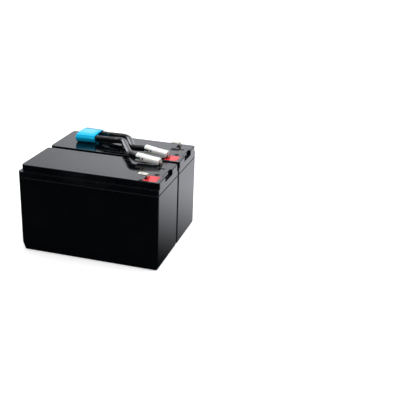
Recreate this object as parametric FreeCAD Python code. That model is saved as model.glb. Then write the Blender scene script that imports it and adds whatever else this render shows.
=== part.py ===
import FreeCAD, Part

import math
import os

# Replacement battery cartridge for an uninterruptible power supply: two 12 V valve-regulated
# lead-acid blocks taped side by side, with a two-cable harness and a two-pole plug on top.
# Millimetres. The origin is at the middle of the underside, +Z is up, +X points to the terminal
# end and -Y to the front block.

# --- one block, outside -------------------------------------------------------------------
block_length = 151.0
block_width = 65.0
block_height = 95.0
tape_thickness = 0.8
corner_radius = 3.0
base_radius = 3.0
foot_taper_height = 10.5
foot_taper_depth = 4.0
foot_edge_radius = 1.2
seam_chamfer = 0.7
tape_length = 110.0
tape_height = 50.0
tape_bottom = 16.0
cut_past = 1.0

# --- case -----------------------------------------------------------------------------------
lid_height = 13.0
wall = 2.4
floor = 2.6
partition = 1.6
cells_long = 3
cells_wide = 2

# --- lid ------------------------------------------------------------------------------------
flange_height = 6.0
end_step = 3.0
side_step = 2.6
lid_edge_radius = 0.5
gas_space = 5.0
web = 2.0
grip_width = 24.0
grip_height = 5.3
grip_depth = 2.5
grip_round = 0.6

# --- vent cover and valves ------------------------------------------------------------------
cover_from_end = 22.5
cover_width = 46.0
cover_thickness = 2.3
cover_ledge = 3.0
cover_fit = 0.1
valve_to_end = 2.8
valve_to_side = 0.8
chimney_diameter = 8.0
chimney_bore = 4.0
chimney_height = 2.0
cap_diameter = 10.4
cap_to_cover = 0.3
cap_round = 0.6

# --- plate packs and lead straps ------------------------------------------------------------
plates = 9
plate_thickness = 1.9
strap_below_seam = 7.4
separator_rise = 1.5
pack_clearance = 0.3
lug_offset = 13.2
lug_width = 6.0
lug_height = 5.0
strap_length = 24.0
strap_width = 9.0
strap_height = 4.0
neck_width = 6.0

# --- terminals ------------------------------------------------------------------------------
terminal_from_end = 15.1
terminal_from_side = 12.3
pillar_diameter = 6.0
pillar_fit = 0.15
pillar_above_floor = 2.0
seal_width = 15.0
seal_length = 14.1
seal_depth = 5.0
seal_fit = 0.1
seal_behind_stem = 3.3
seal_slot_width = 9.0
seal_slot_depth = 2.5
tab_width = 6.35
tab_thickness = 0.8
tab_bend_inside = 1.0
tab_bend_above_lid = 2.5
tab_length = 8.7
tab_hole = 1.8
tab_hole_from_tip = 3.2
tab_tip_chamfer = 1.1
slot_fit = 0.2
bare_tab_tilt = 1.0
front_mated_tilt = 5.0
rear_mated_tilt = 6.7

# --- insulated tab connectors ---------------------------------------------------------------
sleeve_gap = 0.3
sleeve_length = 25.0
sleeve_width = 10.4
sleeve_height = 5.4
sleeve_straight = 9.0
sleeve_rear_width = 9.8
sleeve_rear_height = 8.2
sleeve_corner = 2.2
sleeve_rear_corner = 3.6
sleeve_wall = 1.1
sleeve_barrel_bore = 6.2
rear_window = 5.2
small_window = 2.0
small_window_from_rear = 7.4
window_height = 3.2
receptacle_length = 8.6
receptacle_height = 2.8
receptacle_inset = 0.6
receptacle_round = 1.0
rolled_gap = 2.2
neck_strip_width = 4.6
neck_strip_height = 1.4
barrel_diameter = 5.8
barrel_length = 10.0
barrel_back_off = 0.2
blade_fit = 0.05

# --- two-pole plug --------------------------------------------------------------------------
plug_rear_x = -30.4
plug_length = 21.6
plug_width = 33.0
plug_rear_width = 29.4
plug_height = 10.4
plug_middle_y = 39.0
plug_foot_inset = 6.0
plug_waist = 6.2
plug_ridge = 9.1
plug_ridge_inset = 1.9
plug_end_round = 0.8
pole_pitch = 17.5
hood_depth = 3.0
mouth_depth = 9.0
mouth_width = 28.5
hood_width = 25.6
hood_height = 7.4
hood_corner = 3.6
divider = 2.4
contact_blade = 6.5
contact_blade_width = 5.6
contact_blade_height = 1.8
contact_trim = 0.5

# --- cables ---------------------------------------------------------------------------------
cable_diameter = 7.0
arc_share = 0.45
exit_run = 9.0

# --- placed from the values above -----------------------------------------------------------
seam_z = block_height - lid_height
half_length = block_length / 2
half_width = block_width / 2
block_middle_y = (block_width + tape_thickness) / 2
cell_length = (block_length - 2 * wall - (cells_long - 1) * partition) / cells_long
cell_width = (block_width - 2 * wall - (cells_wide - 1) * partition) / cells_wide
cell_pitch_x = cell_length + partition
cell_pitch_y = cell_width + partition
web_bottom = seam_z + gas_space
web_top = web_bottom + web
cover_seat = block_height - cover_thickness
terminal_x = half_length - terminal_from_end
terminal_y = half_width - terminal_from_side
pocket_floor = block_height - seal_depth
plate_height = seam_z - strap_below_seam - strap_height - lug_height - floor
strap_bottom = floor + plate_height + lug_height
cover_length = block_length - 2 * cover_from_end
valve_pitch = cover_length / 2 - cover_ledge - cap_diameter / 2 - valve_to_end
valve_row = cover_width / 2 - cover_ledge - cap_diameter / 2 - valve_to_side
bend_radius = tab_bend_inside + tab_thickness / 2
bend_x = terminal_x - bend_radius
bend_z = block_height + tab_bend_above_lid
plug_middle_z = block_height + plug_height / 2
plug_front_x = plug_rear_x - plug_length
hood_floor_x = plug_rear_x - hood_depth
mouth_floor_x = plug_front_x + mouth_depth
X = FreeCAD.Vector(1, 0, 0)
Y = FreeCAD.Vector(0, 1, 0)
Z = FreeCAD.Vector(0, 0, 1)


# --- small helpers --------------------------------------------------------------------------
def box(length, width, height, x=0.0, y=0.0, z=0.0):
    """A block centred on x and y, with its underside at z."""
    return Part.makeBox(length, width, height, FreeCAD.Vector(x - length / 2, y - width / 2, z))


def span(x0, x1, y0, y1, z0, z1):
    """A block between two corners."""
    return Part.makeBox(x1 - x0, y1 - y0, z1 - z0, FreeCAD.Vector(x0, y0, z0))


def upright(diameter, height, x, y, z):
    """A cylinder standing at x, y with its underside at z."""
    return Part.makeCylinder(diameter / 2, height, FreeCAD.Vector(x, y, z), Z)


def along_x(diameter, x0, x1, y, z):
    """A cylinder lying along X from x0 to x1."""
    return Part.makeCylinder(diameter / 2, x1 - x0, FreeCAD.Vector(x0, y, z), X)


def fillet_upright(shape, radius):
    """Rounds the edges that stand along Z."""
    edges = []
    for edge in shape.Edges:
        bounds = edge.BoundBox
        if bounds.ZLength > 0.9 * shape.BoundBox.ZLength and bounds.XLength + bounds.YLength < 1e-6:
            edges.append(edge)
    return shape.makeFillet(radius, edges)


def edges_at(shape, z):
    """The edges that lie wholly at one height."""
    found = []
    for edge in shape.Edges:
        if abs(edge.BoundBox.ZMin - z) < 1e-6 and abs(edge.BoundBox.ZMax - z) < 1e-6:
            found.append(edge)
    return found


def fused(shapes):
    """One solid from touching shapes, with the seams between them removed."""
    first, rest = shapes[0], shapes[1:]
    return first.fuse(rest).removeSplitter() if rest else first


def moved(shape, y):
    """A copy of a shape shifted across the cartridge."""
    copy = shape.copy()
    copy.translate(FreeCAD.Vector(0, y, 0))
    return copy


def cell_centres():
    """The middle of each cell: the front row, then the rear row, terminal end first."""
    centres = []
    for side in (-1, 1):
        for column in (1, 0, -1):
            centres.append((column * cell_pitch_x, side * cell_pitch_y / 2))
    return centres


# --- one block ------------------------------------------------------------------------------
def make_case():
    """Moulded container: six open cells, rounded corners and foot, windows for the lead links."""
    case = fillet_upright(box(block_length, block_width, seam_z), corner_radius)
    case = case.makeFillet(base_radius, edges_at(case, 0.0))
    case = case.makeChamfer(seam_chamfer, edges_at(case, seam_z))
    case = taper_foot(case)
    inner_slope = foot_wedge(wall)
    hollows = [
        box(cell_length, cell_width, seam_z, x, y, floor).cut(inner_slope) for x, y in cell_centres()
    ]
    case = case.cut(hollows)
    windows = []
    for x, y, long_way in link_places():
        reach = partition + cut_past
        size = (reach, neck_width) if long_way else (neck_width, reach)
        windows.append(box(size[0], size[1], strap_height, x, y, strap_bottom))
    return case.cut(windows)


def foot_wedge(inset):
    """The space outside the foot's slope, with the slope moved inwards by an inset."""
    top_x = -half_length + inset
    return Part.Face(
        Part.makePolygon(
            [
                FreeCAD.Vector(top_x, -half_width, foot_taper_height),
                FreeCAD.Vector(top_x + foot_taper_depth, -half_width, 0),
                FreeCAD.Vector(-half_length - cut_past, -half_width, 0),
                FreeCAD.Vector(-half_length - cut_past, -half_width, foot_taper_height),
                FreeCAD.Vector(top_x, -half_width, foot_taper_height),
            ]
        )
    ).extrude(Y * block_width)


def taper_foot(case):
    """Slopes the foot inwards at the end away from the terminals."""
    case = case.cut(foot_wedge(0.0))
    low = [e for e in edges_at(case, 0.0) if e.BoundBox.XMax < foot_taper_depth - half_length + 1e-6]
    return case.makeFillet(foot_edge_radius, [e for e in low if e.BoundBox.YLength > half_width])


def raised_plan():
    """Middle and size of the lid's raised part, flush with the case at the terminal end only."""
    length = block_length - end_step
    return end_step / 2, length, block_width - 2 * side_step


def make_lid():
    """Lid: flange, raised part, grip recess, valve chamber, terminal pockets, and gas spaces below."""
    flange = fillet_upright(box(block_length, block_width, flange_height, z=seam_z), corner_radius)
    flange = flange.makeChamfer(seam_chamfer, edges_at(flange, seam_z))
    middle, length, width = raised_plan()
    raised = box(length, width, lid_height - flange_height, middle, 0, seam_z + flange_height)
    raised = fillet_upright(raised, corner_radius)
    raised = raised.makeFillet(lid_edge_radius, edges_at(raised, block_height))
    lid = fused([flange, raised])
    cuts = [box(cell_length, cell_width, gas_space, x, y, seam_z) for x, y in cell_centres()]
    cover_recess = fillet_upright(
        box(cover_length, cover_width, cover_thickness, z=cover_seat), corner_radius
    )
    chamber = box(
        cover_length - 2 * cover_ledge, cover_width - 2 * cover_ledge, cover_seat - web_top, z=web_top
    )
    cuts += [cover_recess, chamber, grip_recess()]
    for side in (-1, 1):
        cuts.append(seal_block(side, 0.0))
        bore = pillar_diameter + 2 * pillar_fit
        cuts.append(upright(bore, block_height - web_bottom, terminal_x, side * terminal_y, web_bottom))
    lid = lid.cut(cuts)
    for x, y in valve_places():
        lid = lid.fuse(upright(chimney_diameter, chimney_height, x, y, web_top))
    for x, y in valve_places():
        lid = lid.cut(upright(chimney_bore, lid_height, x, y, web_bottom - cut_past))
    return lid.removeSplitter()


def grip_recess():
    """The finger recess in the lid's terminal end, open at the top, with rounded lower corners."""
    cutter = span(
        half_length - grip_depth,
        half_length + grip_depth,
        -grip_width / 2,
        grip_width / 2,
        block_height - grip_height,
        block_height + grip_height,
    )
    low = edges_at(cutter, block_height - grip_height)
    return cutter.makeFillet(grip_round, [e for e in low if e.BoundBox.YLength > grip_width / 2])


def valve_places():
    """Six valves, one over each cell."""
    places = []
    for side in (-1, 1):
        for column in (-1, 0, 1):
            places.append((column * valve_pitch, side * valve_row))
    return places


def make_vent_cover():
    """Flush plate over the valve chamber."""
    cover = box(
        cover_length - 2 * cover_fit, cover_width - 2 * cover_fit, cover_thickness, z=cover_seat
    )
    return fillet_upright(cover, corner_radius)


def make_valves():
    """Rubber caps, each closing one chimney by its own spring."""
    caps = []
    for x, y in valve_places():
        cap = upright(cap_diameter, cover_seat - cap_to_cover - web_top, x, y, web_top)
        cap = cap.makeFillet(cap_round, edges_at(cap, cover_seat - cap_to_cover))
        caps.append(cap.cut(upright(chimney_diameter, chimney_height, x, y, web_top)))
    return Part.Compound(caps)


def seal_block(side, clearance):
    """The block of the terminal seal, as a pocket in the lid or smaller by a clearance."""
    length, width = seal_length - 2 * clearance, seal_width - 2 * clearance
    x = terminal_x - seal_behind_stem + seal_length / 2
    return box(length, width, seal_depth, x, side * terminal_y, pocket_floor)


def make_seal(side):
    """Cast resin seal round a terminal, with an open slot where the tab comes out."""
    y = side * terminal_y
    seal = seal_block(side, seal_fit)
    bore = pillar_diameter + 2 * pillar_fit
    seal = seal.cut(upright(bore, pillar_above_floor, terminal_x, y, pocket_floor))
    stem = box(
        tab_thickness + 2 * slot_fit, tab_width + 2 * slot_fit, seal_depth, terminal_x, y, pocket_floor
    )
    slot = span(
        terminal_x - seal_behind_stem - cut_past,
        terminal_x + tab_thickness,
        y - seal_slot_width / 2,
        y + seal_slot_width / 2,
        block_height - seal_slot_depth,
        block_height + cut_past,
    )
    return seal.cut([stem, slot])


def make_tab(side, tilt):
    """Flat blade terminal: a stem in the seal, bent over and tilted up by a few degrees."""
    lean = math.radians(tilt)
    inside, outside = tab_bend_inside, tab_bend_inside + tab_thickness
    foot = pocket_floor + pillar_above_floor

    def at(x, z):
        return FreeCAD.Vector(x, 0, z)

    def on_bend(radius, angle):
        return at(bend_x + radius * math.cos(angle), bend_z + radius * math.sin(angle))

    turn = math.pi / 2 - lean
    run = at(-math.cos(lean), math.sin(lean)) * tab_length
    outer_foot, inner_foot = at(bend_x + outside, foot), at(bend_x + inside, foot)
    outer_end, inner_end = on_bend(outside, turn), on_bend(inside, turn)
    edges = [
        Part.LineSegment(outer_foot, on_bend(outside, 0)),
        Part.Arc(on_bend(outside, 0), on_bend(outside, turn / 2), outer_end),
        Part.LineSegment(outer_end, outer_end + run),
        Part.LineSegment(outer_end + run, inner_end + run),
        Part.LineSegment(inner_end + run, inner_end),
        Part.Arc(inner_end, on_bend(inside, turn / 2), on_bend(inside, 0)),
        Part.LineSegment(on_bend(inside, 0), inner_foot),
        Part.LineSegment(inner_foot, outer_foot),
    ]
    profile = Part.Face(Part.Wire([edge.toShape() for edge in edges]))
    profile.translate(Y * (-tab_width / 2))
    tab = profile.extrude(Y * tab_width)
    tip = [e for e in tab.Edges if e.BoundBox.XMax < bend_x - 0.9 * tab_length * math.cos(lean)]
    corners = [e for e in tip if e.BoundBox.YLength < 1e-6]
    tab = tab.makeChamfer(tab_tip_chamfer, corners)
    hole_at = (inner_end + outer_end) * 0.5 + run * (1 - tab_hole_from_tip / tab_length)
    reach = tab_thickness + 2 * cut_past
    drill = Part.makeCylinder(tab_hole / 2, reach, hole_at - Z * (reach / 2), Z)
    return moved(tab.cut(drill), side * terminal_y)


def make_plate_pack(x, y):
    """
    One cell: pressed plates and separators, with the plates' lugs standing on top. The packs at the
    sloped foot have their lower corner cut back to clear the wall there.
    """
    width = cell_width - 2 * pack_clearance
    length = cell_length - 2 * pack_clearance
    separator = (width - plates * plate_thickness) / (plates + 1)
    pitch = separator + plate_thickness
    body = box(length, width, plate_height, x, y, floor)
    shapes = [body.cut(foot_wedge(wall + pack_clearance))]
    for n in range(plates + 1):
        place = y - width / 2 + separator / 2 + n * pitch
        shapes.append(box(length, separator, separator_rise, x, place, floor + plate_height))
    for n in range(plates):
        place = y - width / 2 + separator + plate_thickness / 2 + n * pitch
        side = -1 if n % 2 else 1
        shapes.append(
            box(lug_width, plate_thickness, lug_height, x + side * lug_offset, place, floor + plate_height)
        )
    return fused(shapes)


def link_places():
    """Where the cell links pass the partitions: x, y and whether the link runs along X."""
    places = []
    for side in (-1, 1):
        for column in (0.5, -0.5):
            places.append((column * cell_pitch_x, side * cell_pitch_y / 2, True))
    places.append((-cell_pitch_x - lug_offset, 0.0, False))
    return places


def make_link(x, y, long_way):
    """Lead link: two strap bars and the neck that joins them through a partition."""
    if long_way:
        reach = cell_pitch_x / 2 - lug_offset
        places = [(x - reach, y), (x + reach, y)]
        neck = box(2 * reach, neck_width, strap_height, x, y, strap_bottom)
    else:
        reach = cell_pitch_y / 2
        places = [(x, y - reach), (x, y + reach)]
        neck = box(neck_width, 2 * reach, strap_height, x, y, strap_bottom)
    bars = [box(strap_width, strap_length, strap_height, at, across, strap_bottom) for at, across in places]
    return fused(bars + [neck])


def make_pillar(side):
    """Lead terminal pillar on the end cell's strap bar."""
    bar_x = cell_pitch_x + lug_offset
    bar = box(strap_width, strap_length, strap_height, bar_x, side * cell_pitch_y / 2, strap_bottom)
    top = pocket_floor + pillar_above_floor
    pillar = upright(pillar_diameter, top - strap_bottom, terminal_x, side * terminal_y, strap_bottom)
    return fused([bar, pillar])


# --- harness --------------------------------------------------------------------------------
def rounded_section(width, height, radius, x):
    """A rounded rectangle in the YZ plane at x."""
    section = Part.makeBox(1.0, width, height, FreeCAD.Vector(x, -width / 2, -height / 2))
    edges = [e for e in section.Edges if e.BoundBox.XLength > 0.5]
    section = section.makeFillet(radius, edges)
    face = [f for f in section.Faces if abs(f.BoundBox.XMin - x) < 1e-6 and f.BoundBox.XLength < 1e-6]
    return face[0].OuterWire


def on_tab(shape, side_y, tilt):
    """Turns a shape built along +X from the tab's bend, so that +X runs out along the blade."""
    lean = math.radians(tilt)
    start = FreeCAD.Vector(
        bend_x + bend_radius * math.sin(lean), side_y, bend_z + bend_radius * math.cos(lean)
    )
    turn = FreeCAD.Rotation(Z, 180).multiply(FreeCAD.Rotation(Y, -tilt))
    placed = shape.copy()
    placed.Placement = FreeCAD.Placement(start, turn)
    return placed


def make_sleeve():
    """Nylon sleeve of a tab connector, along +X from the mouth, with windows beside the barrel."""
    rear = sleeve_gap + sleeve_length
    bend = sleeve_gap + sleeve_straight
    front = rounded_section(sleeve_width, sleeve_height, sleeve_corner, sleeve_gap)
    middle = rounded_section(sleeve_width, sleeve_height, sleeve_corner, bend)
    back = rounded_section(sleeve_rear_width, sleeve_rear_height, sleeve_rear_corner, rear)
    body = fused([Part.makeLoft([front, middle], True, True), Part.makeLoft([middle, back], True, True)])
    inside_half = sleeve_width / 2 - sleeve_wall
    cavity_half = receptacle_height / 2 + slot_fit
    cavity_end = rear - barrel_length
    cavity = span(0.0, cavity_end, -inside_half, inside_half, -cavity_half, cavity_half)
    bore = along_x(sleeve_barrel_bore, cavity_end - cut_past, rear + cut_past, 0, 0)
    low = -window_height / 2
    notch = box(rear_window, 2 * sleeve_width, window_height, rear - rear_window / 2, 0, low)
    small_x = rear - small_window_from_rear
    small = box(small_window, 2 * sleeve_width, window_height, small_x, 0, low)
    return body.cut([cavity, bore, notch, small])


def make_receptacle():
    """Tin-plated receptacle inside a sleeve: rolled box round the blade, neck, and crimp barrel."""
    rear = sleeve_gap + sleeve_length
    mouth = sleeve_gap + receptacle_inset
    grip_end = mouth + receptacle_length
    half = sleeve_width / 2 - sleeve_wall - slot_fit
    grip = span(mouth, grip_end, -half, half, -receptacle_height / 2, receptacle_height / 2)
    rolled = [e for e in grip.Edges if e.BoundBox.XLength > receptacle_length / 2]
    grip = grip.makeFillet(receptacle_round, rolled)
    gap_half = rolled_gap / 2
    opening = span(mouth - cut_past, grip_end + cut_past, -gap_half, gap_half, 0, receptacle_height)
    barrel_start = rear - barrel_length + barrel_back_off
    neck = box(
        barrel_start + cut_past - grip_end + barrel_back_off,
        neck_strip_width,
        neck_strip_height,
        (grip_end - barrel_back_off + barrel_start + cut_past) / 2,
        0,
        -neck_strip_height / 2,
    )
    barrel = along_x(barrel_diameter, barrel_start, rear, 0, 0)
    solid = fused([grip.cut(opening), neck, barrel])
    blade_half = tab_width / 2 + blade_fit
    blade_flat = tab_thickness / 2 + blade_fit
    return solid.cut(span(0.0, tab_length, -blade_half, blade_half, -blade_flat, blade_flat))


def plug_section(x, width):
    """The plug's outline in the YZ plane: narrow foot, round lower sides, sloped shoulders, crown."""
    half = width / 2
    foot = half - plug_foot_inset
    ridge = half - plug_ridge_inset

    def at(y, z):
        return FreeCAD.Vector(x, plug_middle_y + y, block_height + z)

    bulge = math.sqrt(0.5)
    low_y = foot + plug_foot_inset * bulge
    low_z = plug_waist * (1 - bulge)
    edges = [
        Part.LineSegment(at(-foot, 0), at(foot, 0)),
        Part.Arc(at(foot, 0), at(low_y, low_z), at(half, plug_waist)),
        Part.LineSegment(at(half, plug_waist), at(ridge, plug_ridge)),
        Part.Arc(at(ridge, plug_ridge), at(0, plug_height), at(-ridge, plug_ridge)),
        Part.LineSegment(at(-ridge, plug_ridge), at(-half, plug_waist)),
        Part.Arc(at(-half, plug_waist), at(-low_y, low_z), at(-foot, 0)),
    ]
    return Part.Wire([edge.toShape() for edge in edges])


def hood_block(x0, x1, width):
    """A long-holed cutter along X for the plug's two open ends."""
    block = span(
        x0,
        x1,
        plug_middle_y - width / 2,
        plug_middle_y + width / 2,
        plug_middle_z - hood_height / 2,
        plug_middle_z + hood_height / 2,
    )
    return block.makeFillet(hood_corner, [e for e in block.Edges if e.BoundBox.XLength > cut_past])


def make_plug_housing():
    """Plug housing: tapered crowned body, open mouth with a divider, hood over the cable entries."""
    sections = [plug_section(plug_front_x, plug_width), plug_section(plug_rear_x, plug_rear_width)]
    body = Part.makeLoft(sections, True, True)
    ends = [e for e in body.Edges if e.BoundBox.XLength < 1e-6 and e.BoundBox.ZMax > block_height + 1e-6]
    body = body.makeFillet(plug_end_round, ends)
    mouth = hood_block(plug_front_x - cut_past, mouth_floor_x, mouth_width)
    wall_between = span(
        plug_front_x - cut_past,
        mouth_floor_x + cut_past,
        plug_middle_y - divider / 2,
        plug_middle_y + divider / 2,
        plug_middle_z - plug_height / 2,
        plug_middle_z + plug_height / 2,
    )
    cuts = [mouth.cut(wall_between), hood_block(hood_floor_x, plug_rear_x + cut_past, hood_width)]
    for y in pole_places():
        bore = along_x(
            sleeve_barrel_bore, mouth_floor_x - cut_past, hood_floor_x + cut_past, y, plug_middle_z
        )
        cuts.append(bore)
    return body.cut(cuts)


def pole_places():
    """The two poles, front first."""
    return [plug_middle_y - pole_pitch / 2, plug_middle_y + pole_pitch / 2]


def make_contact(y):
    """Silver-plated contact: a crimp barrel in the body and a flat blade in the mouth."""
    barrel = along_x(barrel_diameter, mouth_floor_x, hood_floor_x, y, plug_middle_z)
    blade = span(
        mouth_floor_x - contact_blade,
        mouth_floor_x + cut_past,
        y - contact_blade_width / 2,
        y + contact_blade_width / 2,
        plug_middle_z - contact_blade_height / 2,
        plug_middle_z + contact_blade_height / 2,
    )
    tip = [e for e in blade.Edges if e.BoundBox.XMax < mouth_floor_x - contact_blade + 1e-6]
    long_edges = [e for e in tip if e.BoundBox.YLength > contact_blade_height / 2]
    return fused([barrel, blade.makeChamfer(contact_trim, long_edges)])


def behind_sleeve(side_y, tilt, distance=0.0):
    """A point on a sleeve's middle line, behind the rear face where its cable begins."""
    lean = math.radians(tilt)
    reach = sleeve_gap + sleeve_length + distance
    return FreeCAD.Vector(
        bend_x + bend_radius * math.sin(lean) - reach * math.cos(lean),
        side_y,
        bend_z + bend_radius * math.cos(lean) + reach * math.sin(lean),
    )


def cable_path(points):
    """Straight runs joined by tangent arcs, each arc as large as its two runs allow."""
    segments = []
    radii = []
    start = points[0]
    for before, corner, after in zip(points, points[1:], points[2:]):
        back = before - corner
        ahead = after - corner
        shorter = min(back.Length, ahead.Length)
        turn = math.pi - back.getAngle(ahead)
        cut = arc_share * shorter
        radius = cut / math.tan(turn / 2)
        radii.append(radius)
        first = corner + back.normalize() * cut
        last = corner + ahead.normalize() * cut
        inward = (back + ahead).normalize()
        middle = corner + inward * (radius / math.cos(turn / 2) - radius)
        segments.append(Part.LineSegment(start, first))
        segments.append(Part.Arc(first, middle, last))
        start = last
    segments.append(Part.LineSegment(start, points[-1]))
    return Part.Wire([segment.toShape() for segment in segments]), radii


def make_cable(name, points):
    """A plain round cable along a route, with its length, radii and volume printed."""
    path, radii = cable_path(points)
    direction = points[1] - points[0]
    ring = Part.Circle(points[0], direction, cable_diameter / 2).toShape()
    cable = path.makePipeShell([Part.Wire([ring])], True, False)
    expected = math.pi * cable_diameter**2 / 4 * path.Length
    print(name, "length %.1f" % path.Length, "volume %.0f of %.0f" % (cable.Volume, expected))
    print("  radii", " ".join("%.1f" % r for r in radii))
    return cable, path


def over_lid(x, y, rise):
    """A point of a route, with its height above the lids."""
    return FreeCAD.Vector(x, y, block_height + rise)


def front_route():
    """From the plug to the front block's negative tab."""
    y = pole_places()[0]
    tab_y = -block_middle_y + terminal_y
    return [
        FreeCAD.Vector(hood_floor_x, y, plug_middle_z),
        FreeCAD.Vector(hood_floor_x + exit_run, y, plug_middle_z),
        over_lid(-12.8, 32.2, 5.5),
        over_lid(-1.4, 33.6, 5.8),
        over_lid(4.8, 22.4, 5.8),
        over_lid(11.8, 10.5, 5.9),
        over_lid(18.2, -1.2, 6.5),
        over_lid(21.4, -8.8, 6.5),
        behind_sleeve(tab_y, front_mated_tilt, 6.2),
        behind_sleeve(tab_y, front_mated_tilt),
    ]


def rear_route():
    """From the plug to the rear block's positive tab."""
    y = pole_places()[1]
    tab_y = block_middle_y - terminal_y
    return [
        FreeCAD.Vector(hood_floor_x, y, plug_middle_z),
        FreeCAD.Vector(hood_floor_x + exit_run, y, plug_middle_z),
        over_lid(-13.2, 49.0, 5.4),
        over_lid(-2.8, 46.8, 5.8),
        over_lid(5.8, 37.3, 6.6),
        over_lid(12.6, 25.4, 7.1),
        over_lid(17.1, 14.8, 7.6),
        behind_sleeve(tab_y, rear_mated_tilt, 7.0),
        behind_sleeve(tab_y, rear_mated_tilt),
    ]


# --- everything, each piece in its own file --------------------------------------------------
def block_pieces(name, y, positive_tilt, negative_tilt):
    """The pieces of one block, positive terminal at the front and negative at the rear."""
    pieces = {
        "case": make_case(),
        "lid": make_lid(),
        "vent_cover": make_vent_cover(),
        "vent_valves": make_valves(),
        "positive_seal": make_seal(-1),
        "negative_seal": make_seal(1),
        "positive_tab": make_tab(-1, positive_tilt),
        "negative_tab": make_tab(1, negative_tilt),
        "positive_pillar": make_pillar(-1),
        "negative_pillar": make_pillar(1),
    }
    for number, (x, across) in enumerate(cell_centres(), 1):
        pieces["plate_pack_%d" % number] = make_plate_pack(x, across)
    for number, (x, across, long_way) in enumerate(link_places(), 1):
        pieces["cell_link_%d" % number] = make_link(x, across, long_way)
    return {name + "_" + piece: moved(shape, y) for piece, shape in pieces.items()}


def harness_pieces():
    """Plug, contacts, cables, receptacles and sleeves."""
    front_y = -block_middle_y + terminal_y
    rear_y = block_middle_y - terminal_y
    negative, negative_path = make_cable("negative_cable", front_route())
    positive, positive_path = make_cable("positive_cable", rear_route())
    print("between the cables %.2f" % (negative_path.distToShape(positive_path)[0] - cable_diameter))
    front_pole, rear_pole = pole_places()
    return {
        "plug_housing": make_plug_housing(),
        "plug_negative_contact": make_contact(front_pole),
        "plug_positive_contact": make_contact(rear_pole),
        "negative_cable": negative,
        "positive_cable": positive,
        "negative_receptacle": on_tab(make_receptacle(), front_y, front_mated_tilt),
        "positive_receptacle": on_tab(make_receptacle(), rear_y, rear_mated_tilt),
        "negative_sleeve": on_tab(make_sleeve(), front_y, front_mated_tilt),
        "positive_sleeve": on_tab(make_sleeve(), rear_y, rear_mated_tilt),
    }


def make_tape():
    """Double-sided foam tape between the two cases."""
    return box(tape_length, tape_thickness, tape_height, z=tape_bottom)


def main():
    os.makedirs("parts", exist_ok=True)
    pieces = block_pieces("front", -block_middle_y, bare_tab_tilt, front_mated_tilt)
    pieces.update(block_pieces("rear", block_middle_y, rear_mated_tilt, bare_tab_tilt))
    pieces["foam_tape"] = make_tape()
    pieces.update(harness_pieces())
    for name, shape in pieces.items():
        if not shape.isValid():
            print("not valid:", name)
        shape.exportStep("parts/%s.step" % name)
    print(len(pieces), "pieces")


main()
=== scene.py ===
# %% [markdown]
# # Replacement battery cartridge: how it looks
#
# The object is two sealed lead-acid blocks side by side, with a two-cable harness that ends in a
# blue two-pole plug. Its rigid solids come from the frame, in metres: +X points to the terminal
# end, -Y to the front block and +Z up, with the underside at z = 0.
#
# The solids could be modelled again here, but then two models would have to be kept in step. So
# they keep their mesh and place, and this lesson only dresses them. It turns the two cable solids
# into smooth curves, adds fine moulded relief, gives each piece a material made of nodes, and sets
# up a plain white studio.

import math

import bmesh
import bpy
import numpy as np
from mathutils import Matrix, Vector


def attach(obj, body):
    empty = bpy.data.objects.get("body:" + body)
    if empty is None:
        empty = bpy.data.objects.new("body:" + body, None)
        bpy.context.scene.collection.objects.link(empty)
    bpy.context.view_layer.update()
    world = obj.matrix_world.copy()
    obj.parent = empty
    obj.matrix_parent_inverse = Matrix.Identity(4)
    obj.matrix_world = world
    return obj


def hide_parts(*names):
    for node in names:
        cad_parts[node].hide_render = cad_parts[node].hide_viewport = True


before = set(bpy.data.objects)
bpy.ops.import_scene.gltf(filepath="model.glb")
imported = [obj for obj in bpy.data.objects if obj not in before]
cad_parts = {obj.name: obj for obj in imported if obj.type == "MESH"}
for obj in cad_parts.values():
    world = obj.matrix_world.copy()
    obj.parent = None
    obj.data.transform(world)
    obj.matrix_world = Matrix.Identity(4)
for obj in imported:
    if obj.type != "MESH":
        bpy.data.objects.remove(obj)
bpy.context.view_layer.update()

# %% [markdown]
# ## Camera
#
# A box is usually shown from a little above with a long lens, so that three of its faces show and
# its edges stay nearly parallel. A camera can be aimed with a constraint. Here its three axes are
# worked out from two angles and a roll, because then a few named numbers say where it stands.
#
# It looks down at 22.5 degrees from a little right of the front. The two slides move it sideways
# and down in its own plane, which puts the object off the middle without any lens shift.

# %%
AZIMUTH = math.radians(14.836)
ELEVATION = math.radians(22.523)
ROLL = math.radians(2.331)
AIM = Vector((0.0, 0.0, 0.047))
DISTANCE = 0.78994
SLIDE_RIGHT = 0.096616
SLIDE_UP = -0.004513
SENSOR = 36.0
LENS = SENSOR * 1.8048

backward = Vector(
    (
        math.sin(AZIMUTH) * math.cos(ELEVATION),
        -math.cos(AZIMUTH) * math.cos(ELEVATION),
        math.sin(ELEVATION),
    )
)
level = Vector((math.cos(AZIMUTH), math.sin(AZIMUTH), 0.0))
steep = backward.cross(level)
right = level * math.cos(ROLL) + steep * math.sin(ROLL)
up = steep * math.cos(ROLL) - level * math.sin(ROLL)

camera_data = bpy.data.cameras.new("camera")
camera_data.sensor_width = SENSOR
camera_data.lens = LENS
camera = bpy.data.objects.new("camera", camera_data)
bpy.context.collection.objects.link(camera)
turn = Matrix((right, up, backward)).transposed().to_4x4()
stand = AIM + backward * DISTANCE + right * SLIDE_RIGHT + up * SLIDE_UP
camera.matrix_world = Matrix.Translation(stand) @ turn
bpy.context.scene.camera = camera
print("camera at", [round(c, 4) for c in stand], "lens", round(camera_data.lens, 2))

# %% [markdown]
# ## Where the cables end
#
# Each cable is crimped into a receptacle inside a nylon sleeve, which leans back with the bent
# blade that it sits on. The cable has to leave the sleeve along the sleeve's own middle line, or it
# would look broken there. That line could be copied as points. Instead it is worked out from the
# blade's bend and its tilt, as the solids are, so it stays true.

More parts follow.
